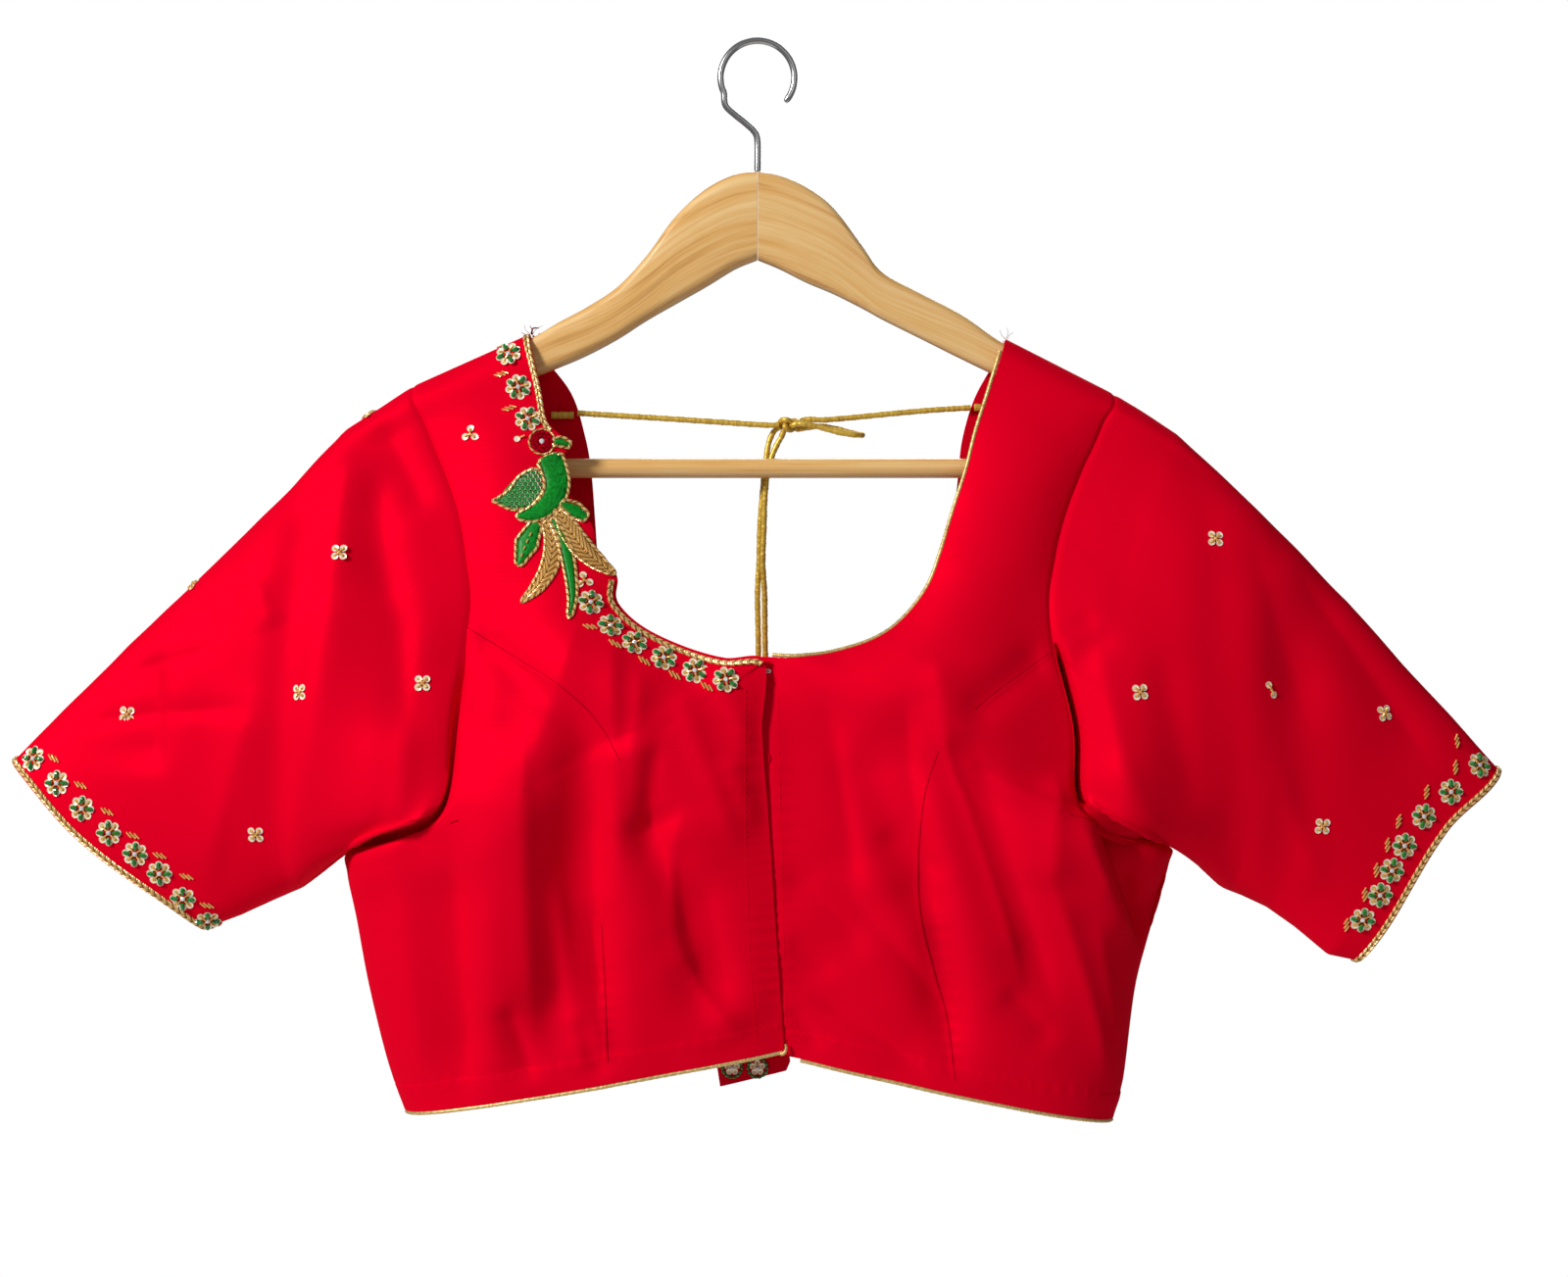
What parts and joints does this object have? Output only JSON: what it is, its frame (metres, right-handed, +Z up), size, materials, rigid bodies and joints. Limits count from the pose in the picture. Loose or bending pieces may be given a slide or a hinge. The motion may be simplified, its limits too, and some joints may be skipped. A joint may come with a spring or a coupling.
{
  "type": "choli blouse on a wooden clothes hanger",
  "caption": "Short elbow-sleeve choli blouse of red silk with gold embroidery, piped hem and tie cords, hung on a wooden bar hanger with a wire hook.",
  "frame": {"origin": "inside top of the hanger hook's crook, where the rail touches it", "axes": "+X towards the wearer's left, -Y out of the blouse's front, +Z up"},
  "size_m": [0.725, 0.0811, 0.5259],
  "materials": {
    "red_silk": "red raw silk with a soft sheen",
    "gold_cord": "gold metallic thread cord and piping",
    "wood": "clear varnished light wood",
    "chrome_wire": "polished wire"
  },
  "bodies": {
    "root": {"front_right_panel": "red_silk", "front_left_panel": "red_silk", "back_panel": "red_silk", "sleeve_right": "red_silk", "sleeve_left": "red_silk", "latkan_right": "red_silk", "latkan_left": "red_silk", "hem_piping_right": "gold_cord", "hem_piping_left": "gold_cord", "hem_piping_back": "gold_cord", "neck_piping_left": "gold_cord", "dori_cord_right": "gold_cord", "dori_cord_left": "gold_cord", "dori_loop": "gold_cord", "dori_tail_right": "gold_cord", "dori_tail_left": "gold_cord", "dori_knot": "gold_cord", "dori_end_right": "gold_cord", "dori_end_left": "gold_cord", "hanger_yoke_right": "wood", "hanger_yoke_left": "wood", "hanger_bar": "wood", "hanger_hook": "chrome_wire"}
  },
  "joints": []
}
